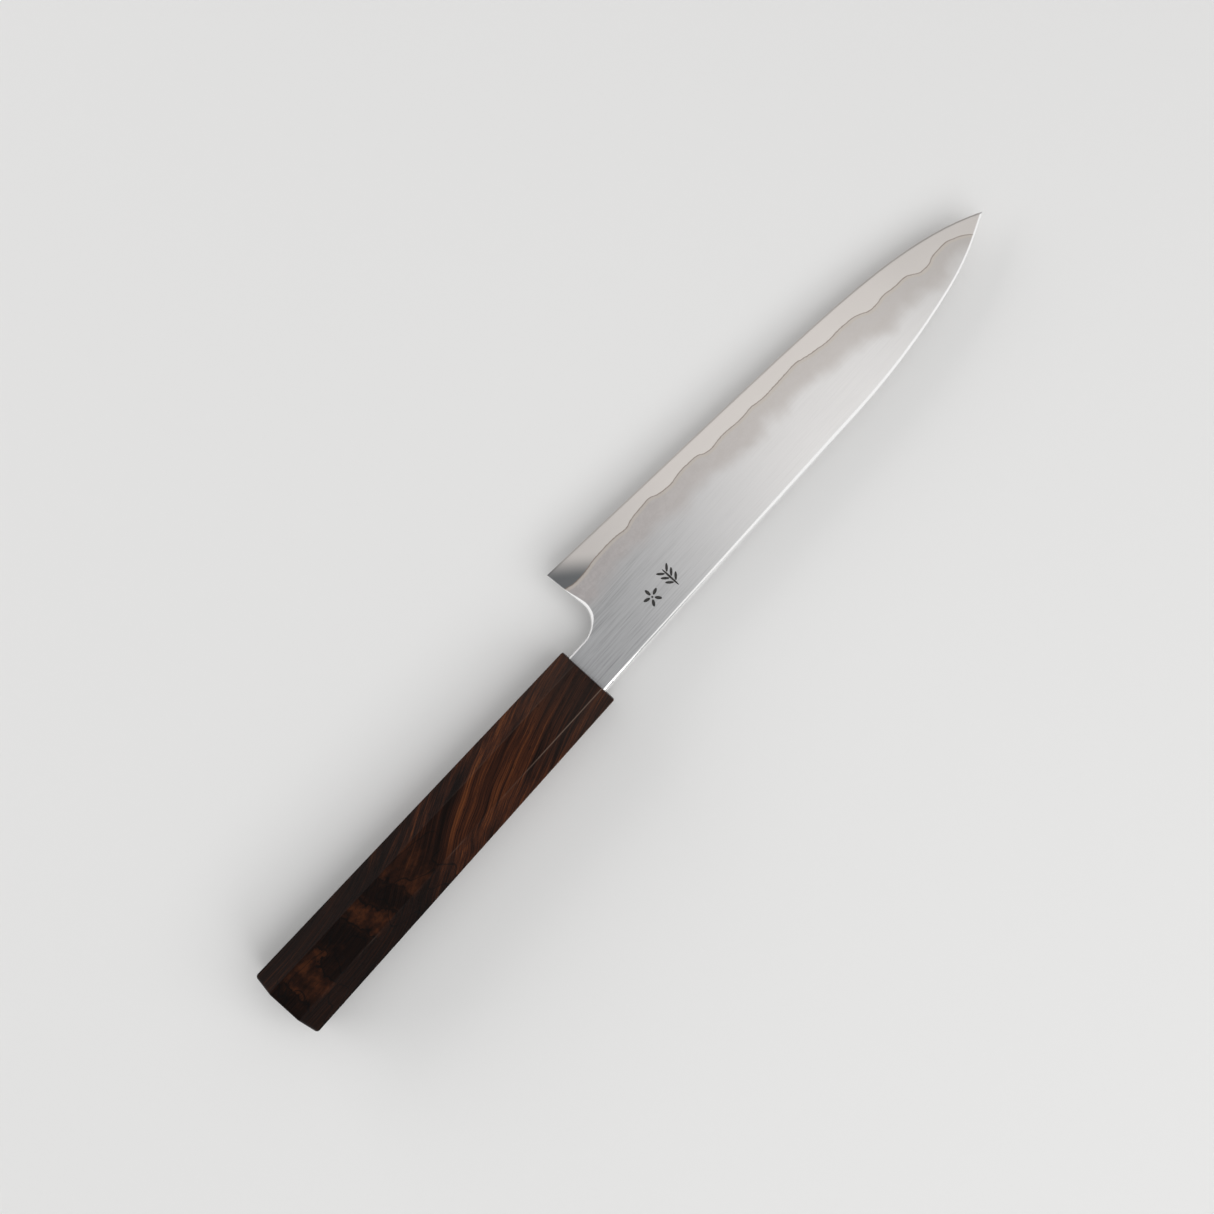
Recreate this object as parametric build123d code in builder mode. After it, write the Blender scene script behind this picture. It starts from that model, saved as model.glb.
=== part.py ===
from build123d import *
import math
import os

os.makedirs("parts", exist_ok=True)

# Chef knife with a laminated blade and an eight-sided wooden handle, lying on its side.
# +X runs from the butt to the tip, +Y from the spine to the cutting edge, +Z is up.
# The origin is the middle of the handle's lower flat, the face the knife rests on.
# Along the blade, u is the distance in front of the handle face and v the distance
# from the handle's centreline, positive toward the cutting edge.

# ---- handle ----
handle_length = 118.5
front_height = 18.8  # across the flats, spine side to edge side
front_thickness = 16.0  # across the flats, left side to right side
front_bevel = 4.6
front_middle = -0.45  # the handle leans a little toward the edge side at the butt
butt_height = 22.25
butt_thickness = 19.2
butt_bevel = 5.8
butt_middle = 0.45
long_edge_radius = 0.6
front_edge_radius = 0.5
butt_edge_radius = 1.1

# ---- mortise in the handle ----
mouth_depth = 4.0  # how far the neck of the blade is let into the wood
mouth_clearance = 0.3  # left round the neck and filled with sealing wax
seal_recess = 0.15  # wax sits this far inside the handle face
slot_thickness = 3.0
slot_front_height = 9.8
slot_end_height = 6.4
slot_depth = 86.0  # from the handle face

# ---- blade outline ----
spine_v = -6.4
spine_straight = 100.0  # where the spine begins to fall toward the tip
spine_fall_radius = 214.0
spine_fall_angle = 11.3
spine_nose_radius = 71.3  # the next stretch, which falls faster
spine_nose_angle = 13.0
spine_end_length = 10.0  # straight, and carried past the tip
past_tip = 166.0
neck_v = 7.05
choil_start = 6.2
choil_radius = 6.8
choil_lean = 3.0  # degrees the back of the heel leans toward the handle
tang_end = -83.0
tang_root_half_width = 4.3
tang_end_half_width = 2.5
outline_margin = 40.0  # beyond every face of the blade

# ---- blade cross-sections, evenly spaced so that the loft stays fair ----
section_back = -7.6  # behind the finished spine
section_spacing = 13.6
sections_in_tang = 7
sections_in_blade = 12
blade_length = 162.9  # handle face to tip
edge_at_handle = 27.2  # the edge line carried back to the handle face
edge_slope = 0.079
edge_belly = 9.13  # how much further the edge rises at the tip than a straight line would
edge_power = 8.6
spine_half_thickness = 1.2
blade_thinning = 0.6  # half thickness lost from the handle to the tip
tang_thinning = 0.003  # half thickness lost per millimetre of tang
grind_bulge = 0.0065  # bulge of each ground face, as a share of its height
bevel_width = 0.45  # sharpened bevel along the edge
bevel_half_thickness = 0.14

# Spine and choil are rounded over and polished.
round_depth = 1.35
round_half_thickness = 1.23
round_margin = 1.0

# ---- lamination ----
core_half_at_neck = 0.32
core_half_at_tip = 0.13
# Where the soft outer steel ends on each side. The forge weld wanders along the blade, so
# each line is a list of its turning points, chosen by hand.
left_weld = [
    (10.0, 19.9), (13.5, 19.9), (17.0, 19.2), (20.0, 19.3), (24.0, 19.8), (29.0, 19.8), (32.5, 19.6),
    (35.5, 18.9), (39.0, 19.7), (45.5, 19.9), (49.0, 18.5), (53.5, 18.0), (56.5, 18.6), (62.5, 18.1),
    (66.0, 16.3), (71.5, 16.7), (78.5, 15.8), (82.0, 16.0), (86.5, 15.2), (93.0, 15.1), (98.5, 15.2),
    (103.0, 13.9), (109.5, 12.5), (114.0, 12.5), (119.0, 11.7), (124.0, 9.3), (127.5, 9.9), (133.0, 9.0),
    (136.0, 8.9), (139.5, 6.6), (142.0, 6.2), (145.0, 7.1), (149.5, 7.1), (154.0, 5.4), (158.5, 0.5),
]
right_weld = [
    (10.0, 18.6), (22.0, 20.1), (30.0, 18.5), (40.0, 19.4), (49.0, 18.9), (58.0, 16.8),
    (66.0, 17.6), (76.0, 15.2), (88.0, 16.1), (97.0, 14.0), (106.0, 14.3), (114.0, 11.4),
    (124.0, 11.2), (133.0, 8.0), (140.0, 7.9), (149.0, 6.2), (155.0, 4.8), (158.5, 0.0),
]

# ---- engraved ornament on the left face: a blossom and a leaf sprig ----
ornament_u = 30.6
ornament_v = 1.5
ornament_spacing = 7.2
engraving_depth = 0.16
stroke_width = 0.6
petal_count = 5
petal_length = 2.0
petal_width = 0.9
petal_distance = 1.65  # from the middle of the blossom to the middle of a petal
stem_length = 6.2
leaf_length = 2.4
leaf_width = 0.75
leaf_spacing = 1.65
leaf_pairs = 3

# The handle thins toward the blade while its lower flat stays level, so the
# centreline, and the blade with it, points down by a small angle.
nose_down = math.atan((butt_thickness - front_thickness) / 2 / handle_length)
blade_x = Vector(math.cos(nose_down), 0, -math.sin(nose_down))
mouth_centre = Vector(handle_length / 2, front_middle, front_thickness / 2)
blade_plane = Plane(origin=mouth_centre, x_dir=blade_x, z_dir=(math.sin(nose_down), 0, math.cos(nose_down)))
side_plane = Plane(origin=mouth_centre, x_dir=blade_x, z_dir=(0, -1, 0))


def across(u):
    """Plane square to the blade at distance u: local x is v, local y is thickness."""
    return Plane(origin=mouth_centre + blade_x * u, x_dir=(0, 1, 0), z_dir=blade_x)


def edge_v(u):
    """Cutting edge: nearly straight at the heel, sweeping up to the tip."""
    along = max(u, 0) / blade_length
    return edge_at_handle - edge_slope * u - edge_belly * along**edge_power


def half_thickness(u):
    """Half the thickness at the back of a section: thickest at the handle face."""
    if u < 0:
        return spine_half_thickness + tang_thinning * u
    return spine_half_thickness - blade_thinning * u / blade_length


def face_height(u, v):
    """Height of the ground face above the blade's middle plane."""
    rise = edge_v(u) - bevel_width - section_back
    share = (v - section_back) / rise
    chord = half_thickness(u) + (bevel_half_thickness - half_thickness(u)) * share
    return chord + 4 * grind_bulge * rise * share * (1 - share)


def ground_face(u, side):
    """Convex ground face of one section, from the back down to the sharpened bevel."""
    start = Vector(section_back, side * half_thickness(u))
    end = Vector(edge_v(u) - bevel_width, side * bevel_half_thickness)
    middle = (start + end) / 2 + Vector(0, side * grind_bulge * (end.X - start.X))
    return ThreePointArc(start, middle, end)


# Forged and ground blank: the whole blade and tang before it is split into its steels.
with BuildPart() as blank:
    for step in range(-sections_in_tang, sections_in_blade + 1):
        u = step * section_spacing
        with BuildSketch(across(u)):
            with BuildLine():
                left_face = ground_face(u, 1)
                right_face = ground_face(u, -1)
                Line(right_face @ 0, left_face @ 0)
                Polyline(left_face @ 1, (edge_v(u), 0), right_face @ 1)
            make_face()
    loft()
    # Side outline: tang, shoulders, spine falling to the tip, heel and choil.
    with BuildSketch(blade_plane.offset(-outline_margin)):
        with BuildLine():
            Polyline(
                (tang_end, tang_end_half_width),
                (tang_end, -tang_end_half_width),
                (-mouth_depth, -tang_root_half_width),
                (-mouth_depth, spine_v),
                (spine_straight, spine_v),
            )
            fall = JernArc((spine_straight, spine_v), (1, 0), spine_fall_radius, spine_fall_angle)
            nose = JernArc(fall @ 1, fall % 1, spine_nose_radius, spine_nose_angle)
            spine_end = Line(nose @ 1, nose @ 1 + (nose % 1) * spine_end_length)
            heel_back = JernArc((choil_start, neck_v), (1, 0), choil_radius, 90 + choil_lean)
            heel_line = PolarLine(heel_back @ 1, outline_margin, 90 + choil_lean)
            Polyline(spine_end @ 1, ((spine_end @ 1).X, (heel_line @ 1).Y), heel_line @ 1)
            Polyline(
                (choil_start, neck_v),
                (-mouth_depth, neck_v),
                (-mouth_depth, tang_root_half_width),
                (tang_end, tang_end_half_width),
            )
        make_face()
    extrude(amount=2 * outline_margin, mode=Mode.INTERSECT)
    # Spine rounded over from the neck to the tip.
    with BuildLine(blade_plane) as spine_path:
        Line((-mouth_depth - round_margin, spine_v), (spine_straight, spine_v))
        fall = JernArc((spine_straight, spine_v), (1, 0), spine_fall_radius, spine_fall_angle)
        nose = JernArc(fall @ 1, fall % 1, spine_nose_radius, spine_nose_angle)
        Line(nose @ 1, nose @ 1 + (nose % 1) * spine_end_length)
    with BuildSketch(across(-mouth_depth - round_margin)) as spine_cutter:
        with Locations((spine_v - round_margin, 0)):
            Rectangle(round_margin + round_depth, 4 * round_half_thickness, align=(Align.MIN, Align.CENTER))
        with Locations((spine_v + round_depth, 0)):
            Ellipse(round_depth, round_half_thickness, mode=Mode.SUBTRACT)
    sweep(sections=spine_cutter.sketch, path=spine_path.wire(), mode=Mode.SUBTRACT)
    # Neck and choil rounded over from the handle to the heel.
    with BuildLine(blade_plane) as choil_path:
        Line((-mouth_depth - round_margin, neck_v), (choil_start, neck_v))
        choil_curve = JernArc((choil_start, neck_v), (1, 0), choil_radius, 90 + choil_lean)
        PolarLine(choil_curve @ 1, outline_margin / 2, 90 + choil_lean)
    with BuildSketch(across(-mouth_depth - round_margin)) as choil_cutter:
        with Locations((neck_v + round_margin, 0)):
            Rectangle(round_margin + round_depth, 4 * round_half_thickness, align=(Align.MAX, Align.CENTER))
        with Locations((neck_v - round_depth, 0)):
            Ellipse(round_depth, round_half_thickness, mode=Mode.SUBTRACT)
    sweep(sections=choil_cutter.sketch, path=choil_path.wire(), mode=Mode.SUBTRACT)


# Each outer plate: what the blank has on one side of the core, back from the weld line.
claddings = []
for side, weld in ((1, left_weld), (-1, right_weld)):
    with BuildPart() as cladding:
        add(blank.part)
        with BuildSketch(side_plane.offset(-outline_margin)):
            with BuildLine():
                Polyline(
                    (tang_end - outline_margin, side * core_half_at_neck),
                    (0, side * core_half_at_neck),
                    (past_tip, side * core_half_at_tip),
                    (past_tip, -side * outline_margin),
                    (tang_end - outline_margin, -side * outline_margin),
                    close=True,
                )
            make_face()
        extrude(amount=2 * outline_margin, mode=Mode.SUBTRACT)
        with BuildSketch(blade_plane.offset(-outline_margin)):
            with BuildLine():
                weld_line = Polyline(*weld)
                Polyline(
                    weld_line @ 1,
                    (past_tip, (weld_line @ 1).Y),
                    (past_tip, outline_margin),
                    (weld[0][0], outline_margin),
                    weld_line @ 0,
                )
            make_face()
        extrude(amount=2 * outline_margin, mode=Mode.SUBTRACT)
    claddings.append(cladding.part)

cladding_left_blank, cladding_right_blank = claddings

# Hard steel core: everything the two outer plates leave, with the whole cutting edge.
with BuildPart() as blade_core:
    add(blank.part)
    add(cladding_left_blank, mode=Mode.SUBTRACT)
    add(cladding_right_blank, mode=Mode.SUBTRACT)

with BuildPart() as cladding_right:
    add(cladding_right_blank)

# The left outer plate carries the ornament, cut to an even depth below the sloping face.
face_slope = face_height(ornament_u, ornament_v + 0.5) - face_height(ornament_u, ornament_v - 0.5)
engraving_height = face_height(ornament_u, ornament_v) - engraving_depth
ornament_plane = Plane(
    origin=blade_plane.from_local_coords((ornament_u, ornament_v, engraving_height)),
    x_dir=blade_x,
    z_dir=blade_plane.z_dir - Vector(0, face_slope, 0),
)
with BuildPart() as cladding_left:
    add(cladding_left_blank)
    with BuildSketch(ornament_plane):
        with Locations((-ornament_spacing / 2, 0)):
            Circle(stroke_width / 2)
            with PolarLocations(petal_distance, petal_count, start_angle=90):
                Ellipse(petal_length / 2, petal_width / 2)
        with Locations((ornament_spacing / 2, 0)):
            Ellipse(stem_length / 2, stroke_width / 2, rotation=90)
        for pair in range(leaf_pairs):
            leaf_v = (pair - 0.5) * leaf_spacing
            for side in (-1, 1):
                with Locations((ornament_spacing / 2 + side * leaf_length / 2, leaf_v)):
                    Ellipse(leaf_length / 2, leaf_width / 2, rotation=side * 45)
    extrude(amount=1, mode=Mode.SUBTRACT)

# Eight-sided handle, level underneath, thicker and taller toward the butt: a tapered
# block whose four long corners are planed off.
butt = (-handle_length / 2, butt_middle, butt_height, butt_thickness, butt_bevel)
front = (handle_length / 2, front_middle, front_height, front_thickness, front_bevel)


def bevel_corners(end, side, top):
    """The two corners of one bevel at one end of the handle: on the flat and on the wall."""
    x, middle, height, thickness, bevel = end
    on_flat = Vector(x, middle + side * (height / 2 - bevel), thickness if top else 0)
    on_wall = Vector(x, middle + side * height / 2, thickness - bevel if top else bevel)
    return on_flat, on_wall


with BuildPart() as handle_body:
    with BuildSketch(Plane.XZ.offset(-butt_height)):
        with BuildLine():
            Polyline(
                (-handle_length / 2, 0),
                (handle_length / 2, 0),
                (handle_length / 2, front_thickness),
                (-handle_length / 2, butt_thickness),
                close=True,
            )
        make_face()
    extrude(amount=2 * butt_height)
    with BuildSketch(Plane.XY):
        with BuildLine():
            Polyline(
                (-handle_length / 2, butt_middle - butt_height / 2),
                (handle_length / 2, front_middle - front_height / 2),
                (handle_length / 2, front_middle + front_height / 2),
                (-handle_length / 2, butt_middle + butt_height / 2),
                close=True,
            )
        make_face()
    extrude(amount=butt_thickness, mode=Mode.INTERSECT)
    for side in (-1, 1):
        for top in (False, True):
            butt_on_flat, butt_on_wall = bevel_corners(butt, side, top)
            front_on_flat = bevel_corners(front, side, top)[0]
            outward = (butt_on_wall - butt_on_flat).cross(front_on_flat - butt_on_flat)
            if (outward.Z > 0) != top:
                outward = -outward
            split(bisect_by=Plane(origin=butt_on_flat, z_dir=outward), keep=Keep.BOTTOM)
    fillet(handle_body.edges().filter_by(lambda edge: edge.length > handle_length / 2), long_edge_radius)
    butt_end, front_end = handle_body.faces().filter_by(Axis.X).sort_by(Axis.X)
    fillet(butt_end.edges(), butt_edge_radius)
    fillet(front_end.edges(), front_edge_radius)
    # Mortise: a shallow mouth for the neck, then a slot that narrows with the tang.
    with BuildSketch(across(-mouth_depth)):
        with Locations(((spine_v + neck_v) / 2, 0)):
            Rectangle(neck_v - spine_v + 2 * mouth_clearance, 2 * (spine_half_thickness + mouth_clearance))
    extrude(amount=mouth_depth + round_margin, mode=Mode.SUBTRACT)
    with BuildSketch(across(-mouth_depth)):
        Rectangle(slot_front_height, slot_thickness)
    with BuildSketch(across(-slot_depth)):
        Rectangle(slot_end_height, slot_thickness)
    loft(mode=Mode.SUBTRACT)

# Resin that fills the slot round the tang.
with BuildPart() as tang_adhesive:
    with BuildSketch(across(-mouth_depth)):
        Rectangle(slot_front_height, slot_thickness)
    with BuildSketch(across(-slot_depth)):
        Rectangle(slot_end_height, slot_thickness)
    loft()
    add(blank.part, mode=Mode.SUBTRACT)

# Wax that seals the mouth round the neck against water.
with BuildPart() as mouth_seal:
    with BuildSketch(across(-mouth_depth)):
        with Locations(((spine_v + neck_v) / 2, 0)):
            Rectangle(neck_v - spine_v + 2 * mouth_clearance, 2 * (spine_half_thickness + mouth_clearance))
    extrude(amount=mouth_depth - seal_recess)
    add(blank.part, mode=Mode.SUBTRACT)

for name, piece in (
    ("blade_core", blade_core),
    ("cladding_left", cladding_left),
    ("cladding_right", cladding_right),
    ("handle_body", handle_body),
    ("tang_adhesive", tang_adhesive),
    ("mouth_seal", mouth_seal),
):
    piece.part.label = name
    export_step(piece.part, f"parts/{name}.step")
    print(name, round(piece.part.volume, 1), piece.part.is_valid, len(piece.part.solids()))
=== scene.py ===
# %% [markdown]
# # A chef knife with a laminated blade and an eight-sided handle
# The knife lies on its side, on one flat of the handle, so the blade hangs just clear of
# the table. Six solid pieces come from the CAD model: the hard core, the two soft outer
# plates, the handle, and the resin and wax that hold and seal the tang. Their shapes are
# right already, so the work here is in the finishes: brushed and polished steel with a
# wandering weld line, and oiled dark wood with figure. One thing is added as a new piece,
# a black film in the cuts of the engraved ornament, for their oxide and painted shade.

# %% Load the imported knife
import math

import bpy
import numpy as np
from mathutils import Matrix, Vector


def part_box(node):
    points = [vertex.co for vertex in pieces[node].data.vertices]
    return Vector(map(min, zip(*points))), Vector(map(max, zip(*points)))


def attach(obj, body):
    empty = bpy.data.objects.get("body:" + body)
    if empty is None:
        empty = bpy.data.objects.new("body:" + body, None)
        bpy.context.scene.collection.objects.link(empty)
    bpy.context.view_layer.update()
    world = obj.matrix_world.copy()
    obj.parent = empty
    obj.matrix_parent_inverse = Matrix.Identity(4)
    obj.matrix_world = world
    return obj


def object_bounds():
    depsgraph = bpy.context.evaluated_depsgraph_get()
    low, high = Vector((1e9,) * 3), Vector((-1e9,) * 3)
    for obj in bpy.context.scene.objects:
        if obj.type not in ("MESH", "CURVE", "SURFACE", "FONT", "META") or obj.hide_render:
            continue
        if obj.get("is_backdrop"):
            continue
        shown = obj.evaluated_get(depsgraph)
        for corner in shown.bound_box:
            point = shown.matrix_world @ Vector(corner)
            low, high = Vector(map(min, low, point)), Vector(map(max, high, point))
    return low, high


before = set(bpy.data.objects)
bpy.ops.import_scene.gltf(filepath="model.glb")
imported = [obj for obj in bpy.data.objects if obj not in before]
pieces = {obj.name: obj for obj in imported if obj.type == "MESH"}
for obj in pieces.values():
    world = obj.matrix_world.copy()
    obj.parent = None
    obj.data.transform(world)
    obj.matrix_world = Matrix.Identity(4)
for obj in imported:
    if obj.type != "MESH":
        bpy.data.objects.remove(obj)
cad_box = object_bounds()
print("pieces:", sorted(pieces))

# %% [markdown]
# ## Where things are
# Patterns are easiest to think about in millimetres from the handle's front face: u runs
# toward the tip, v from the spine toward the edge, w up through the thickness. The frame
# gives the handle's box, so nothing has to be measured by eye. The handle is thicker at
# the butt and lies level underneath, so its middle line, and the blade with it, points
# down by less than a degree. The middle of the handle's front face is 8 mm up.

# %% Find the handle face and the blade's middle
handle_low, handle_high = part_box("handle_body")
face_x = handle_high.x
handle_length = handle_high.x - handle_low.x
mouth_height = 0.008
nose_down = (handle_high.z / 2 - mouth_height) / handle_length
print(f"handle face at {face_x * 1000:.2f} mm, handle {handle_length * 1000:.1f} mm long")

# %% [markdown]
# ## Writing finishes as short recipes
# A procedural finish is a tree of nodes. Typing every node out makes the idea hard to see,
# so these few helpers each place one kind of node and give back its output: a sum, a
# cloudy noise, a soft step, a colour scale and a mix of two colours. A finish then reads
# from top to bottom like a recipe.


# %% Helpers for the finishes
def put(tree, kind, settings=None, **wires):
    """Place one node, set it up, and wire or fill its inputs by name."""
    made = tree.nodes.new(kind)
    for name, value in (settings or {}).items():
        setattr(made, name, value)
    for name, value in wires.items():
        by_number = name[0] == "i" and name[1:].isdigit()
        socket = made.inputs[int(name[1:])] if by_number else made.inputs[name]
        if isinstance(value, bpy.types.NodeSocket):
            tree.links.new(value, socket)
        else:
            socket.default_value = value
    return made


def calc(tree, operation, first, second=0.0):
    """One sum on numbers."""
    return put(tree, "ShaderNodeMath", {"operation": operation}, i0=first, i1=second).outputs[0]


def plus(tree, first, second):
    """Sum of two values."""
    return calc(tree, "ADD", first, second)


def minus(tree, first, second):
    """First value less the second."""
    return calc(tree, "SUBTRACT", first, second)


def times(tree, first, second):
    """Product of two values."""
    return calc(tree, "MULTIPLY", first, second)


def gap(tree, first, second):
    """Distance between two values, never negative."""
    return calc(tree, "ABSOLUTE", minus(tree, first, second))


def above(tree, value, floor):
    """How far value is above a floor, and 0 below it."""
    return calc(tree, "MAXIMUM", minus(tree, value, floor), 0.0)


def soft_step(tree, value, low, high):
    """0 below low, 1 above high, and a smooth rise between; low may be the larger."""
    smooth = {"interpolation_type": "SMOOTHSTEP"}
    return put(tree, "ShaderNodeMapRange", smooth, i0=value, i1=low, i2=high).outputs[0]


def clouds(tree, where, scale, detail=4.0, roughness=0.55, distortion=0.0):
    """Soft noise from 0 to 1; scale is lumps per millimetre."""
    made = put(
        tree, "ShaderNodeTexNoise", None,
        Vector=where, Scale=scale, Detail=detail, Roughness=roughness, Distortion=distortion,
    )
    return made.outputs["Fac"]


def turned(tree, where, stretch=(1, 1, 1), turn=(0, 0, 0), shift=(0, 0, 0)):
    """The same place in stretched, turned and shifted measures."""
    made = put(
        tree, "ShaderNodeMapping", None,
        Vector=where, Scale=stretch, Rotation=[math.radians(a) for a in turn], Location=shift,
    )
    return made.outputs[0]


def scale_of(tree, value, stops):
    """Colour scale: each stop is a place from 0 to 1 and a colour or a grey."""
    made = put(tree, "ShaderNodeValToRGB", None, Fac=value)
    ends = made.color_ramp.elements
    while len(ends) < len(stops):
        ends.new(0.5)
    for stop, (place, colour) in zip(ends, stops):
        stop.position = place
        stop.color = (*colour, 1) if hasattr(colour, "__len__") else (colour, colour, colour, 1)
    return made.outputs["Color"]


def smooth_curve(tree, value, points, low, high):
    """Look a value up on a smooth curve through (place, height) points, all from low to high."""
    first, last = points[0][0], points[-1][0]
    share = calc(tree, "DIVIDE", minus(tree, value, first), last - first)
    made = put(tree, "ShaderNodeFloatCurve", None, Value=share)
    curve = made.mapping.curves[0]
    while len(curve.points) < len(points):
        curve.points.new(0.5, 0.5)
    for point, (place, height) in zip(curve.points, points):
        point.location = ((place - first) / (last - first), (height - low) / (high - low))
    made.mapping.update()
    return plus(tree, times(tree, made.outputs[0], high - low), low)


def mixed(tree, share, first, second, how="MIX"):
    """Colour mix: all first at share 0, all second at share 1."""
    made = tree.nodes.new("ShaderNodeMix")
    made.data_type = "RGBA"
    made.blend_type = how
    for socket, value in ((made.inputs[0], share), (made.inputs[6], first), (made.inputs[7], second)):
        if isinstance(value, bpy.types.NodeSocket):
            tree.links.new(value, socket)
        elif hasattr(value, "__len__"):
            socket.default_value = (*value, 1)
        else:
            socket.default_value = value
    return made.outputs[2]


def parts_of(tree, place):
    """The three measures of a place."""
    return put(tree, "ShaderNodeSeparateXYZ", None, Vector=place).outputs


def joined(tree, u, v, w):
    """A place from three measures."""
    return put(tree, "ShaderNodeCombineXYZ", None, i0=u, i1=v, i2=w).outputs[0]


def new_finish(name):
    """An empty finish: its tree, its shader, and the place in millimetres from the handle face."""
    finish = bpy.data.materials.new(name)
    finish.use_nodes = True
    tree = finish.node_tree
    shader = tree.nodes["Principled BSDF"]
    coordinates = tree.nodes.new("ShaderNodeTexCoord")
    place = turned(
        tree, coordinates.outputs["Object"], stretch=(1000, 1000, 1000),
        shift=(-1000 * face_x, 0, -1000 * mouth_height),
    )
    return finish, tree, shader, place


def bumped(tree, shader, height, depth_mm):
    """Raise the surface by height (0 to 1) times a depth in millimetres."""
    made = put(tree, "ShaderNodeBump", None, Strength=1.0, Distance=depth_mm / 1000, Height=height)
    tree.links.new(made.outputs[0], shader.inputs["Normal"])


def wear(piece, finish):
    """Give a piece one finish all over."""
    piece.data.materials.clear()
    piece.data.materials.append(finish)


print("helpers ready")

# %% [markdown]
# ## Reading the weld line and the spine off the model
# A laminated blade is hard steel between two plates of soft steel. Hammering moves the
# weld about, so when the bevel is ground the border of the soft plate wanders along the
# blade like a shoreline. The finish needs that border to know which steel it is on. It
# could be typed in again, but the CAD plates already end exactly there: the narrow wall
# where a plate stops stands nearly upright and faces the edge. So the line is read off
# those walls and kept as a smooth curve for each side. The ornament's cuts and the choil
# have such walls too, but they all lie nearer the spine than one sloping line. The spine
# is read the same way: it bulges outward all along, so it is a string pulled tight round
# the blade's points.

# %% Sizes for reading the outlines, in millimetres
weld_from, weld_to, weld_stations = 14.0, 157.0, 60
spine_from, spine_to, spine_stations = 0.0, 162.5, 40
neck_from = -5.0  # the neck starts inside the handle, so the string starts there too
reach_past_end = 1.5
wall_uprightness, wall_facing_edge = 0.6, 0.2  # limits on the parts of a wall's normal
no_weld_above, no_weld_slope = 17.6, 0.1  # the sloping line, at the handle and per millimetre


# %% Read the border of each outer plate
def on_blade(place):
    """(u, v) of a point of a mesh."""
    return round((place.x - face_x) * 1000, 3), round(place.y * 1000, 3)


def at_stations(line, first, last, stations):
    """The line's (u, v) at even stations."""
    u = np.linspace(first, last, stations)
    v = np.interp(u, [p[0] for p in line], [p[1] for p in line])
    return [(float(a), float(b)) for a, b in zip(u, v)]


def weld_border(name):
    """(u, v) of the plate's border, read from the wall that faces the edge."""
    mesh = pieces[name].data
    found = set()
    for face in mesh.polygons:
        if abs(face.normal.z) < wall_uprightness and face.normal.y > wall_facing_edge:
            found.update(on_blade(mesh.vertices[index].co) for index in face.vertices)
    low, high = weld_from - reach_past_end, weld_to + reach_past_end
    border = sorted((u, v) for u, v in found if low < u < high and v > no_weld_above - no_weld_slope * u)
    return at_stations(border, weld_from, weld_to, weld_stations)


def spine_border():
    """(u, v) of the spine, as a string pulled tight round the blade on the spine side."""
    steel_meshes = [pieces[name].data for name in ("blade_core", "cladding_left", "cladding_right")]
    found = {on_blade(vertex.co) for mesh in steel_meshes for vertex in mesh.vertices}
    string = []
    for u, v in sorted(point for point in found if point[0] > neck_from):
        while len(string) > 1:
            (u1, v1), (u2, v2) = string[-2:]
            if (u2 - u1) * (v - v1) > (v2 - v1) * (u - u1):
                break
            string.pop()
        string.append((u, v))
    return at_stations(string, spine_from, spine_to, spine_stations)


borders = {side: weld_border(f"cladding_{side}") for side in ("left", "right")}
for side, line in borders.items():
    print(f"{side} border runs from v {line[0][1]:.1f} to {line[-1][1]:.1f} mm")
spine_line = spine_border()
print(f"spine runs from v {spine_line[0][1]:.2f} to {spine_line[-1][1]:.2f} mm")

# %% [markdown]
# ## The steel
# All three steel pieces take the same recipe, so the colours meet exactly at the weld.
# What the eye sees on the real blade:
# * the core is finer ground and slightly warm, with a painted dark reflection at the heel;
# * a hairline of brown oxide marks the weld, with a pale fringe beside it;
# * the soft plate next to the weld is clouded by the whetstone and darkened by a painted
#   reflection, with a soft lower border;
# * the rest carries long brush marks from handle to tip, plain near the handle and nearly
#   gone past the middle, with a painted reflection that lightens it toward the tip and a
#   painted shade that darkens the tip itself;
# * the spine, the neck and the choil are rounded over and polished bright. The rounding is
#   in the CAD pieces; the finish gives it and a narrow band beside it the polish and a
#   painted highlight.

# %% Sizes of the choil and of the polished rims, in millimetres
blade_middle = -0.45  # v of the blade's own middle line
choil_radius = 6.8
choil_middle_u = 6.2  # the middle of the round inner corner
choil_middle_v = 7.05 + choil_radius + blade_middle
choil_lean = math.radians(3.0)  # of the heel's back, toward the handle
spine_rim_width, narrowing_from, narrowing = 1.12, 95.0, 0.0085
choil_rim_width, choil_rim_neck, choil_rim_corner = 0.12, 0.25, 0.60
print(f"the choil's corner is round about u {choil_middle_u:.1f}, v {choil_middle_v:.1f} mm")


# %% Place on the blade: how far from the weld, and how far in from the rounded rims
def from_weld(tree, place):
    """Distance from the weld line in millimetres, positive on the core's side."""
    u, v, w = parts_of(tree, place)
    on_left = calc(tree, "GREATER_THAN", w, times(tree, u, -nose_down))
    left, right = (smooth_curve(tree, u, borders[side], 0.0, 25.0) for side in ("left", "right"))
    line = plus(tree, times(tree, on_left, left), times(tree, minus(tree, 1.0, on_left), right))
    return minus(tree, v, line)


def past_choil(tree, u, v):
    """Distance from the choil. It is an L with a round inner corner, so the distance is
    measured from the middle of that corner, with the leg that is nearer left out."""
    lean = times(tree, above(tree, v, choil_middle_v), choil_lean)
    out_u = above(tree, plus(tree, u, lean), choil_middle_u)
    out_v = calc(tree, "MAXIMUM", minus(tree, choil_middle_v, v), 0.0)
    squares = plus(tree, calc(tree, "POWER", out_u, 2.0), calc(tree, "POWER", out_v, 2.0))
    return minus(tree, calc(tree, "SQRT", squares), choil_radius)


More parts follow.
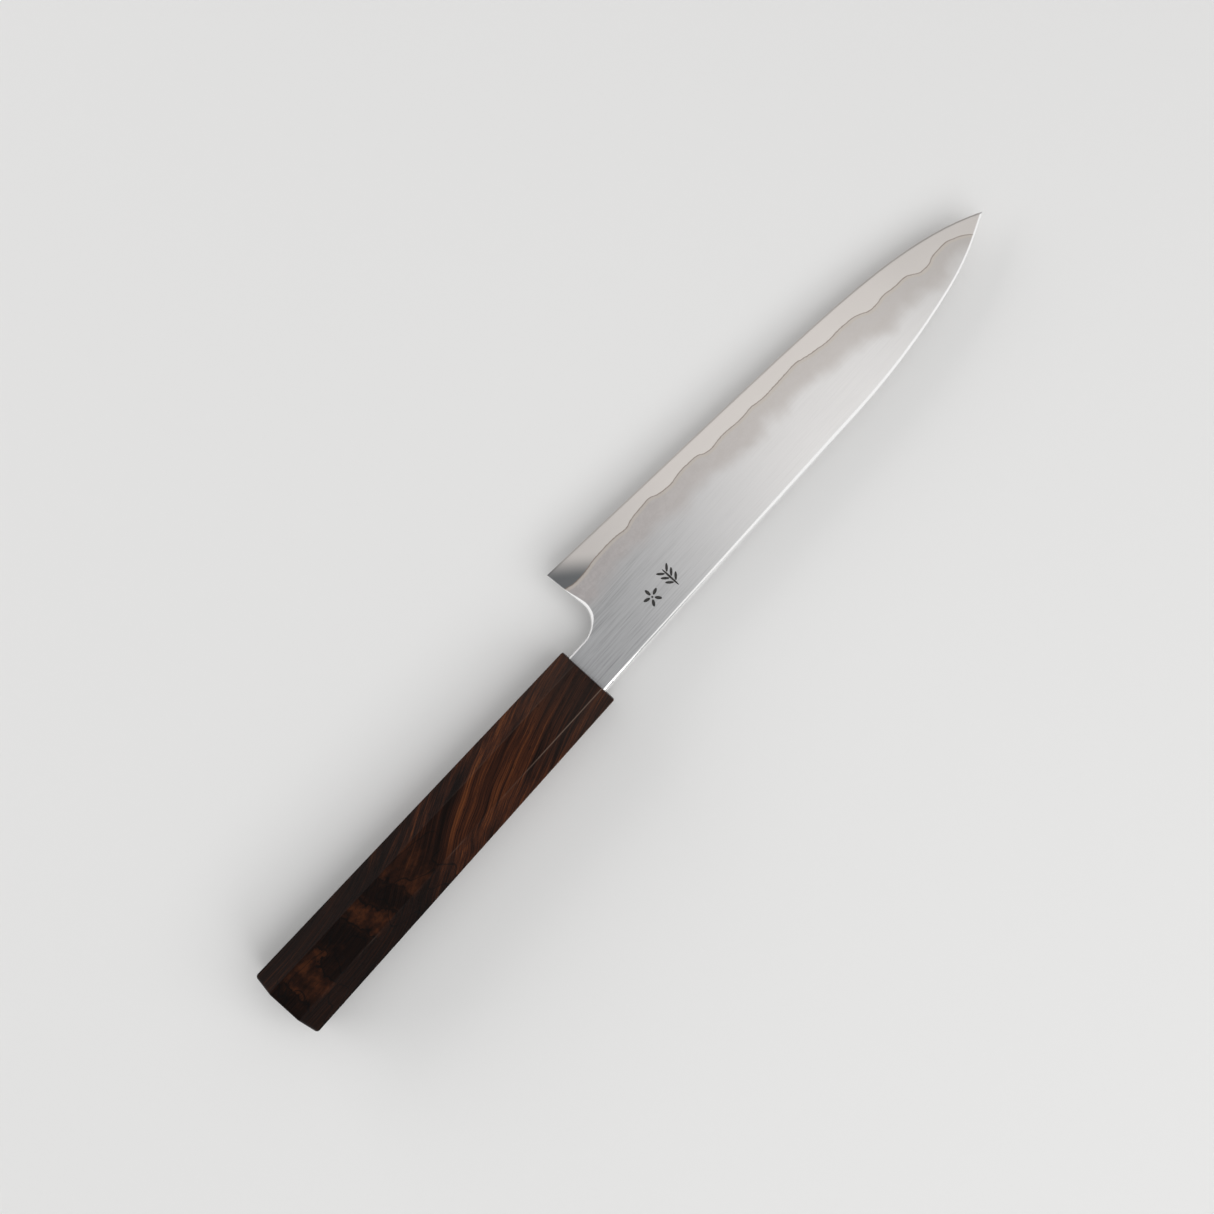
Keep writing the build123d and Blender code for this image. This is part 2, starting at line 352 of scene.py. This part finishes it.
def rims_polished_and_highlighted(tree, u, v):
    """1 on the polished rims of the spine, the neck and the choil, which carry a painted highlight, and 0
    elsewhere.
    """
    from_spine = minus(tree, v, smooth_curve(tree, u, spine_line, -10.0, 10.0))
    # Where the blade is thinner, less of it is needed to round the rim over.
    spine_rim = minus(tree, spine_rim_width, times(tree, above(tree, u, narrowing_from), narrowing))
    by_spine = soft_step(tree, minus(tree, from_spine, spine_rim), 0.12, -0.12)
    # The choil's rim is broad in the round corner, and narrow along the neck and the heel.
    in_corner = times(tree, soft_step(tree, v, 21.0, 13.0), soft_step(tree, v, 6.8, 10.0))
    off_heel = soft_step(tree, v, 21.0, 11.0)
    choil_rim = plus(tree, times(tree, in_corner, choil_rim_corner), plus(
        tree, times(tree, off_heel, choil_rim_neck), choil_rim_width))
    by_choil = soft_step(tree, minus(tree, past_choil(tree, u, v), choil_rim), 0.10, -0.10)
    return calc(tree, "MAXIMUM", by_spine, by_choil)


# %% The steel recipe
def brush_marks(tree, place):
    """Long brush marks: noise stretched along the blade, in a coarse and a fine set."""
    coarse = clouds(tree, turned(tree, place, (0.045, 2.6, 2.6)), 1.0, 3.0, 0.6)
    fine = clouds(tree, turned(tree, place, (0.10, 9.0, 9.0), (0, 0, 0.4)), 1.0, 2.0, 0.7)
    return plus(tree, times(tree, coarse, 0.6), times(tree, fine, 0.4)), fine


def cloud_with_painted_reflection(tree, place, past_weld):
    """1 in the cloud beside the weld, whetstone haze with a painted dark reflection; its lower border
    drifts in and out.
    """
    drift = clouds(tree, turned(tree, place, (0.07, 0.05, 0.0)), 1.0, 3.0)
    low_border = minus(tree, times(tree, drift, -11.0), 1.0)
    return soft_step(tree, minus(tree, past_weld, low_border), -3.0, 3.0)


def blotches(tree, place):
    """Fine and broad spots in the cloud, from 0 to 1."""
    fine = times(tree, clouds(tree, place, 1.6, 3.0), 0.4)
    broad = times(tree, clouds(tree, turned(tree, place, (0.28, 0.5, 0.5)), 1.0, 3.0), 0.6)
    return soft_step(tree, plus(tree, fine, broad), 0.38, 0.62)


def soft_plate(tree, place, u, past_weld, marks, near_handle):
    """Outer steel, brushed and clouded, with a painted reflection: grey near the handle and lighter toward
    the tip.
    """
    # Painted reflection: the colour lightens from the handle to the tip, as the flat mirrors brighter light
    # there.
    along = soft_step(tree, u, 0.0, 95.0)
    plate = mixed(tree, along, (0.43, 0.432, 0.44), (0.78, 0.765, 0.755))
    mark_tone = scale_of(tree, marks, [(0.34, 0.60), (0.5, 0.88), (0.66, 1.0)])
    mark_share = plus(tree, times(tree, near_handle, 0.70), 0.15)
    plate = mixed(tree, mark_share, plate, mark_tone, "MULTIPLY")
    tone = mixed(tree, along, (0.425, 0.392, 0.388), (0.565, 0.525, 0.497))
    tone = mixed(tree, times(tree, blotches(tree, place), 0.34), tone, (0.61, 0.575, 0.56))
    # The cloud is partly the whetstone's haze and partly a painted dark reflection.
    cloud = cloud_with_painted_reflection(tree, place, past_weld)
    return mixed(tree, times(tree, cloud, 0.85), plate, tone)


def hard_core(tree, u, v):
    """Core steel: warm and even, with a painted dark reflection at the heel."""
    core = mixed(tree, soft_step(tree, u, 12.0, 60.0), (0.64, 0.605, 0.58), (0.76, 0.715, 0.68))
    # Painted dark reflection: the core is darkened near the heel.
    heel_edge = plus(tree, times(tree, v, -1.1), 45.0)
    heel = soft_step(tree, minus(tree, u, heel_edge), 3.5, -6.5)
    return mixed(tree, times(tree, heel, 0.95), core, (0.135, 0.143, 0.150))


def with_weld(tree, place, past_weld, colour):
    """The weld itself: a pale fringe on the plate's side and a ragged brown hairline."""
    from_fringe = calc(tree, "ABSOLUTE", plus(tree, past_weld, 0.55))
    fringe = times(tree, soft_step(tree, from_fringe, 0.6, 0.1), 0.5)
    colour = mixed(tree, fringe, colour, (0.60, 0.54, 0.47))
    ragged = times(tree, minus(tree, clouds(tree, place, 1.3, 4.0), 0.5), 0.35)
    from_hairline = calc(tree, "ABSOLUTE", plus(tree, past_weld, ragged))
    hairline = times(tree, soft_step(tree, from_hairline, 0.22, 0.05), 0.72)
    return mixed(tree, hairline, colour, (0.25, 0.19, 0.15))


def steel(name):
    """Brushed and whetstone-finished laminated steel."""
    finish, tree, shader, place = new_finish(name)
    u, v, w = parts_of(tree, place)
    past_weld = from_weld(tree, place)
    marks, fine_marks = brush_marks(tree, place)
    near_handle = soft_step(tree, u, 62.0, 8.0)

    plate = soft_plate(tree, place, u, past_weld, marks, near_handle)
    on_core = soft_step(tree, past_weld, -0.05, 0.05)
    colour = mixed(tree, on_core, plate, hard_core(tree, u, v))
    # Painted shade: all the steel is darkened toward the tip, as its reflection dims there.
    painted_tip_shade = times(tree, soft_step(tree, u, 105.0, 150.0), 0.22)
    colour = mixed(tree, painted_tip_shade, colour, (0.30, 0.29, 0.28))
    colour = with_weld(tree, place, past_weld, colour)
    # Painted highlight: the rims are coloured near white, as their polished rounding shines.
    rims = rims_polished_and_highlighted(tree, u, v)
    colour = mixed(tree, rims, colour, (0.95, 0.945, 0.94))

    # Smudges and marks change the gloss a little, and the rims shine most.
    smudge = clouds(tree, place, 0.09, 4.0)
    shine = plus(tree, times(tree, smudge, 0.12), times(tree, fine_marks, 0.06))
    shine = minus(tree, plus(tree, shine, 0.24), times(tree, rims, 0.15))
    shader.inputs["Metallic"].default_value = 1.0
    tree.links.new(colour, shader.inputs["Base Color"])
    tree.links.new(shine, shader.inputs["Roughness"])
    depth = plus(tree, times(tree, near_handle, 0.65), 0.35)
    depth = times(tree, depth, minus(tree, 1.0, rims))
    bumped(tree, shader, times(tree, marks, depth), 0.006)
    return finish


for name in ("blade_core", "cladding_left", "cladding_right"):
    wear(pieces[name], steel(f"{name}_steel"))
print("three steel pieces finished")

# %% [markdown]
# ## The wood
# The handle is one block of very dark hardwood with orange-brown streaks, oiled to a low
# satin. In the front half the streaks slant across the handle in bundles and flatten out
# toward the blade. In the rear half the grain runs level along the bevels, and the wide
# flats show figure: brown and black patches that come at a steady beat, where the maker
# cut through the foot of a branch. A picture of wood could be laid on face by face, but
# real grain runs through the block and meets at every ridge. So the pattern is solid.
# A curve gives how far the grain has risen at each place along the handle; taking that
# rise away from v and w straightens the grain, and long noise then follows it. The long
# ridges carry a painted highlight, a little paler on the spine side of the front half.

# %% Sizes of the handle's faces and the rise of its grain, in millimetres
butt_u = -1000 * handle_length
grain_rise = [
    (-120.0, 0.0), (-100.0, 0.3), (-84.0, 2.6), (-66.0, 10.2), (-45.0, 20.0), (-22.0, 29.0), (2.0, 35.0),
]
most_rise = 40.0
# Each pair holds a measure at the butt and at the front.
flat_middle, half_flat = (0.45, -0.45), (5.32, 4.80)  # the lying flats, across v
wall_middle, half_wall = (1.60, 0.0), (3.80, 3.40)  # the standing walls, up w
highlight_width, highlight_core_width = 0.24, 0.04
print(f"the grain rises {grain_rise[-1][1]:.0f} mm from the butt at u {butt_u:.1f} mm to the blade")


# %% The ridges, which carry a painted highlight
def along_handle(tree, u, measure):
    """A measure that changes evenly from the butt to the front."""
    at_butt, at_front = measure
    return plus(tree, times(tree, u, (at_front - at_butt) / -butt_u), at_front)


def off_ridge(tree, u, value, middle, half):
    """Distance of value from the two ridges half a face either side of its middle."""
    return gap(tree, gap(tree, value, along_handle(tree, u, middle)), along_handle(tree, u, half))


def painted_ridge_highlight(tree, place):
    """1 on the stretches of the eight long ridges that get a painted highlight, and 0 elsewhere."""
    u, v, w = parts_of(tree, place)
    by_flats = off_ridge(tree, u, v, flat_middle, half_flat)
    by_walls = off_ridge(tree, u, w, wall_middle, half_wall)
    near = soft_step(tree, calc(tree, "MINIMUM", by_flats, by_walls), highlight_width, highlight_core_width)
    toward_blade = times(tree, soft_step(tree, u, -75.0, -5.0), 0.55)
    highlight_spread = plus(tree, toward_blade, clouds(tree, turned(tree, place, (0.08, 0.3, 0.3)), 1.0, 3.0))
    # The painted highlight is strongest on the spine side, which faces the key light.
    side = plus(tree, times(tree, soft_step(tree, v, 2.0, -2.0), 0.85), 0.15)
    return times(tree, times(tree, near, side), soft_step(tree, highlight_spread, 0.55, 1.05))


# %% The wood's streaks, patches, veins and pores
def wavered(tree, place):
    """The place, wavered a little, so that no line is drawn with a ruler."""
    slow = put(tree, "ShaderNodeTexNoise", None, Vector=place, Scale=0.05, Detail=1.0, Roughness=0.5)
    move = slow.outputs["Color"]
    for operation, amount in (("SUBTRACT", (0.5, 0.5, 0.5)), ("MULTIPLY", (7, 1.8, 1.8)), ("ADD", place)):
        move = put(tree, "ShaderNodeVectorMath", {"operation": operation}, i0=move, i1=amount).outputs[0]
    return move


def straightened(tree, bent):
    """The place measured along and across the grain."""
    u, v, w = parts_of(tree, bent)
    rise = smooth_curve(tree, u, grain_rise, 0.0, most_rise)
    return joined(tree, u, minus(tree, v, rise), minus(tree, w, times(tree, rise, 0.06)))


def streaks_of(tree, grain):
    """Streaks of three widths along the grain, and the finest of them alone."""
    broad = clouds(tree, turned(tree, grain, (0.010, 0.17, 0.05)), 1.0, 2.0, 0.5)
    middle = clouds(tree, turned(tree, grain, (0.014, 0.78, 0.10)), 1.0, 3.0, 0.6)
    hair = clouds(tree, turned(tree, grain, (0.034, 2.7, 0.35)), 1.0, 4.0, 0.75)
    finer = plus(tree, times(tree, middle, 0.34), times(tree, hair, 0.42))
    return plus(tree, times(tree, broad, 0.24), finer), hair


def beat_of(tree, place, u, curl):
    """A slow beat across the grain, about -1 to 1, drifting and frayed by the curl."""
    drift = clouds(tree, turned(tree, place, (0.05, 0.055, 0.08)), 1.0, 3.0, 0.5)
    steady = times(tree, plus(tree, u, 4.5), 0.318)
    beat = calc(tree, "SINE", plus(tree, steady, times(tree, drift, 6.0)))
    return plus(tree, beat, times(tree, minus(tree, curl, 0.5), 2.2))


def veins_of(tree, bent, u, beat, on_flats):
    """Black veins: thin lines along the border of some patches, and a few loose ones."""
    border = soft_step(tree, gap(tree, beat, 0.05), 0.22, 0.04)
    border = times(tree, border, times(tree, on_flats, soft_step(tree, u, -64.0, -78.0)))
    loose = clouds(tree, turned(tree, bent, (0.05, 0.10, 0.10), (0, 0, -12)), 1.0, 2.0, 0.4)
    loose = soft_step(tree, gap(tree, loose, 0.52), 0.010, 0.003)
    loose = times(tree, loose, soft_step(tree, u, -50.0, -62.0))
    return calc(tree, "MAXIMUM", times(tree, border, 0.8), times(tree, loose, 0.7))


# %% The wood recipe
def dark_wood(name):
    """Oiled dark hardwood: slanting streaks in front, patches of figure toward the butt."""
    finish, tree, shader, place = new_finish(name)
    bent = wavered(tree, place)
    grain = straightened(tree, bent)
    u = parts_of(tree, bent)[0]
    true_v = parts_of(tree, place)[1]

    # Streaks, with a painted grey sheen on the last stretch before the blade.
    streaks, hair = streaks_of(tree, grain)
    streak_colour = scale_of(tree, streaks, [
        (0.40, (0.0042, 0.0018, 0.0013)), (0.46, (0.0135, 0.0047, 0.0029)), (0.51, (0.032, 0.0100, 0.0050)),
        (0.56, (0.064, 0.0185, 0.0072)), (0.61, (0.125, 0.0390, 0.0120)),
    ])
    painted_grey_sheen = times(tree, soft_step(tree, u, -30.0, -6.0), 0.40)
    streak_colour = mixed(tree, painted_grey_sheen, streak_colour, (0.027, 0.0195, 0.0165))

    # Toward the butt: patches across the grain at a steady beat on the flats, and dark
    # level grain on the bevels.
    toward_butt = soft_step(tree, u, -52.0, -80.0)
    curl = clouds(tree, turned(tree, bent, (0.30, 0.42, 0.42)), 1.0, 4.0, 0.6)
    beat = beat_of(tree, place, u, curl)
    patch_colour = scale_of(tree, curl, [
        (0.34, (0.0105, 0.0040, 0.0024)), (0.50, (0.025, 0.0082, 0.0040)), (0.64, (0.056, 0.0170, 0.0064)),
    ])
    gap_colour = scale_of(tree, hair, [(0.38, (0.0020, 0.0012, 0.0011)), (0.62, (0.0095, 0.0040, 0.0027))])
    figure = mixed(tree, soft_step(tree, beat, -0.75, 1.0), gap_colour, patch_colour)
    on_flats = soft_step(tree, calc(tree, "ABSOLUTE", true_v), 6.0, 4.7)
    quiet = mixed(tree, times(tree, toward_butt, 0.82), streak_colour, gap_colour)
    colour = mixed(tree, times(tree, toward_butt, times(tree, on_flats, 0.85)), quiet, figure)
    veins = veins_of(tree, bent, u, beat, on_flats)
    colour = mixed(tree, veins, colour, (0.0022, 0.0018, 0.0018))

    # Pores: short dark dashes along the grain.
    pore = soft_step(tree, clouds(tree, turned(tree, grain, (0.42, 5.2, 5.2)), 1.0, 1.0, 0.5), 0.60, 0.72)
    colour = mixed(tree, times(tree, pore, 0.6), colour, (0.002, 0.0015, 0.0015))

    # Painted highlight: the ridges are made a little paler.
    colour = mixed(tree, times(tree, painted_ridge_highlight(tree, place), 0.70), colour, (0.16, 0.108, 0.082))

    satin = plus(tree, times(tree, hair, 0.18), times(tree, pore, 0.2))
    tree.links.new(colour, shader.inputs["Base Color"])
    tree.links.new(plus(tree, satin, 0.22), shader.inputs["Roughness"])
    shader.inputs["Specular IOR Level"].default_value = 0.06
    bumped(tree, shader, minus(tree, times(tree, hair, 0.35), times(tree, pore, 0.65)), 0.025)
    return finish


wear(pieces["handle_body"], dark_wood("oiled_dark_wood"))
print("handle finished")

# %% [markdown]
# ## Resin and wax
# The resin round the tang is sealed inside the handle and only shows if the knife is taken
# apart: amber, glossy, with a few bubbles. The wax at the mouth shows as a hairline round
# the neck. Both are small, so a cloudy tint and a little relief are enough.


# %% Recipes for resin and wax
def set_resin(name, tint, deep_tint, gloss, lump):
    """A cast or poured filler: cloudy tint with small lumps or bubbles."""
    finish, tree, shader, place = new_finish(name)
    cloudy = clouds(tree, place, 0.35, 3.0)
    spots = put(tree, "ShaderNodeTexVoronoi", None, Vector=place, Scale=1.4).outputs["Distance"]
    bubble = soft_step(tree, spots, 0.28, 0.12)
    colour = mixed(tree, cloudy, deep_tint, tint)
    colour = mixed(tree, times(tree, bubble, 0.3), colour, deep_tint)
    tree.links.new(colour, shader.inputs["Base Color"])
    tree.links.new(plus(tree, times(tree, cloudy, 0.15), gloss), shader.inputs["Roughness"])
    bumped(tree, shader, bubble, lump)
    return finish


amber = set_resin("amber_resin", (0.42, 0.24, 0.07), (0.20, 0.10, 0.03), gloss=0.12, lump=0.03)
wax = set_resin("sealing_wax", (0.22, 0.18, 0.13), (0.10, 0.08, 0.06), gloss=0.40, lump=0.02)
wear(pieces["tang_adhesive"], amber)
wear(pieces["mouth_seal"], wax)
print("resin and wax finished")

# %% [markdown]
# ## Oxide and painted shade in the ornament
# The left face carries a small engraved blossom and a leaf sprig. The cuts are in the CAD
# plate; on the real blade they read dark from oxide and from the shade inside them, and a
# black film here stands for both, the shade painted. A black finish on the whole plate
# can't do that, so each cut gets its own thin film: a filled circle, drawn out to the shape
# of the stroke, laid on the floor of the cut by a shrinkwrap, and given a little thickness.

# %% Sizes of the strokes, in millimetres
ornament_v = 1.5 + blade_middle
blossom_u, sprig_u = 27.0, 34.2
stroke_width = 0.6
petal_length, petal_width, petal_distance, petals = 2.0, 0.9, 1.65, 5
stem_length, leaf_length, leaf_width, leaf_spacing, leaf_pairs = 6.2, 2.4, 0.75, 1.65, 3
film_margin = 0.04  # the film is this much shorter and narrower than its cut
film_thickness, film_lift, lift_step = 0.02, 0.03, 0.002
strokes = [(blossom_u, ornament_v, stroke_width, stroke_width, 0)]
for turn in (90 + 360 * k / petals for k in range(petals)):
    bearing = math.radians(turn)
    reach = Vector((math.cos(bearing), math.sin(bearing))) * petal_distance
    strokes.append((blossom_u + reach.x, ornament_v + reach.y, petal_length, petal_width, turn))
strokes.append((sprig_u, ornament_v, stem_length, stroke_width, 90))
for pair in range(leaf_pairs):
    for side in (-1, 1):
        leaf_v = ornament_v + (pair - 0.5) * leaf_spacing
        strokes.append((sprig_u + side * leaf_length / 2, leaf_v, leaf_length, leaf_width, side * 45))
print(len(strokes), "strokes in the ornament")


# %% Lay one film in each cut, then join them
def lay_film(number, u, v, length, width, turn):
    """A black film the shape of one stroke, on the floor of its cut."""
    bpy.ops.object.select_all(action="DESELECT")
    bpy.ops.mesh.primitive_circle_add(vertices=40, radius=0.0005, fill_type="TRIFAN", location=(0, 0, 0))
    film = bpy.context.object
    bpy.ops.object.mode_set(mode="EDIT")
    bpy.ops.mesh.select_all(action="SELECT")
    bpy.ops.transform.resize(value=(length - film_margin, width - film_margin, 1))
    bpy.ops.object.mode_set(mode="OBJECT")
    film.rotation_euler.z = math.radians(turn)
    film.location = (face_x + u / 1000, v / 1000, 0.012)
    bpy.ops.object.transform_apply(location=True, rotation=True, scale=True)
    wrap = film.modifiers.new("onto the cut", "SHRINKWRAP")
    wrap.target = pieces["cladding_left"]
    wrap.wrap_method = "PROJECT"
    wrap.use_project_z = True
    wrap.use_negative_direction = True
    wrap.use_positive_direction = False
    # Each film lies a hair above the last, so that no two share a plane where they cross.
    wrap.offset = (film_lift + lift_step * number) / 1000
    bpy.ops.object.modifier_apply(modifier=wrap.name)
    thicken = film.modifiers.new("thickness", "SOLIDIFY")
    thicken.thickness = film_thickness / 1000
    thicken.offset = -1
    bpy.ops.object.modifier_apply(modifier=thicken.name)
    return film


films = [lay_film(number, *stroke) for number, stroke in enumerate(strokes)]
bpy.ops.object.select_all(action="DESELECT")
for film in films:
    film.select_set(True)
bpy.context.view_layer.objects.active = films[0]
bpy.ops.object.join()
ornament = bpy.context.object
ornament.name = "ornament_dark_film"
heights = [1000 * vertex.co.z for vertex in ornament.data.vertices]
print(f"film lies between {min(heights):.2f} and {max(heights):.2f} mm")


# %% The dark film's finish: oxide and painted shade
def dark_cut_film(name):
    """Matt black for the oxide and the painted shade in the cuts; thinner and browner where it has worn."""
    finish, tree, shader, place = new_finish(name)
    worn = clouds(tree, place, 3.0, 4.0, 0.6)
    colour = scale_of(tree, worn, [(0.35, (0.008, 0.008, 0.009)), (0.7, (0.05, 0.045, 0.04))])
    tree.links.new(colour, shader.inputs["Base Color"])
    tree.links.new(plus(tree, times(tree, worn, 0.3), 0.5), shader.inputs["Roughness"])
    bumped(tree, shader, worn, 0.02)
    return finish


wear(ornament, dark_cut_film("dark_cut_film"))
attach(ornament, "root")
print("ornament rides on the knife")

# %% [markdown]
# ## Table, light and camera
# The table is plain and pale. Two large soft panels stand on the spine side, a high one
# that throws the soft shadow past the cutting edge and a low one that brightens the rim
# of the spine. A long, low panel on the edge side puts the grey sheen on the handle's
# bevel there and lights the rim in the curve of the neck; both rims also carry a painted
# highlight. A weak panel high over the tip is what the flat of the blade mirrors, and the
# steel's colour adds a painted reflection, so the steel gets lighter toward the tip.
# The camera looks straight down with the tip up to the right.

# %% Table
bpy.ops.object.select_all(action="DESELECT")
bpy.ops.mesh.primitive_plane_add(size=4, location=(0, 0, 0))
table = bpy.context.object
table.name = "table"
pale = bpy.data.materials.new("pale_table")
pale.use_nodes = True
pale_shader = pale.node_tree.nodes["Principled BSDF"]
pale_shader.inputs["Base Color"].default_value = (0.86, 0.857, 0.85, 1)
pale_shader.inputs["Roughness"].default_value = 0.8
wear(table, pale)
table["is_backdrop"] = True
print("table laid")


# %% Lights
def soft_panel(name, place, aim, size, power):
    """A rectangular soft light that faces a point."""
    light = bpy.data.lights.new(name, "AREA")
    light.shape = "RECTANGLE"
    light.size, light.size_y = size
    light.energy = power
    holder = bpy.data.objects.new(name, light)
    bpy.context.scene.collection.objects.link(holder)
    holder.location = place
    holder.rotation_euler = (Vector(aim) - Vector(place)).to_track_quat("-Z", "Y").to_euler()
    return holder


knife_middle = (0.08, 0.0, 0.0)
soft_panel("spine_side_key", (0.10, -0.55, 0.95), knife_middle, (1.2, 0.8), 3.55)
soft_panel("spine_side_low", (0.10, -1.00, 0.66), knife_middle, (1.6, 0.35), 3.0)
soft_panel("edge_side_low", (-0.30, 1.05, 0.42), knife_middle, (1.6, 0.50), 6.0)
soft_panel("tip_side_high", (0.42, 0.05, 1.5), knife_middle, (0.7, 1.0), 1.08)
world = bpy.data.worlds.new("studio")
world.use_nodes = True
background = world.node_tree.nodes["Background"]
background.inputs["Color"].default_value = (1, 1, 1, 1)
background.inputs["Strength"].default_value = 0.44
bpy.context.scene.world = world
print("four soft panels and an even pale sky")

# %% Camera
view_width = 0.3242  # what the frame spans at the height of the blade
view_distance = 0.760  # from the lens to the height of the blade
view_middle = (face_x + 0.0169, 0.0082)
view_turn = -47.84
lens = bpy.data.cameras.new("from_above")
lens.sensor_width = 36
lens.lens = 36 * view_distance / view_width
camera = bpy.data.objects.new("from_above", lens)
bpy.context.scene.collection.objects.link(camera)
camera.location = (*view_middle, mouth_height + view_distance)
camera.rotation_euler = (0, 0, math.radians(view_turn))
bpy.context.scene.camera = camera
bpy.context.scene.view_settings.view_transform = "Standard"
print("camera", tuple(round(c, 4) for c in camera.location))

# %% [markdown]
# ## Keep the size honest
# The finishes and the added film should leave the knife's size as it is, so the growth of
# what is shown now past the box of the CAD model is printed.

# %% Print how far the shown box has grown past the CAD box
shown_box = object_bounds()
growth = [round(1000 * (b - a), 3) for pair in zip(cad_box, shown_box) for a, b in zip(*pair)]
print("grown by", growth, "mm")
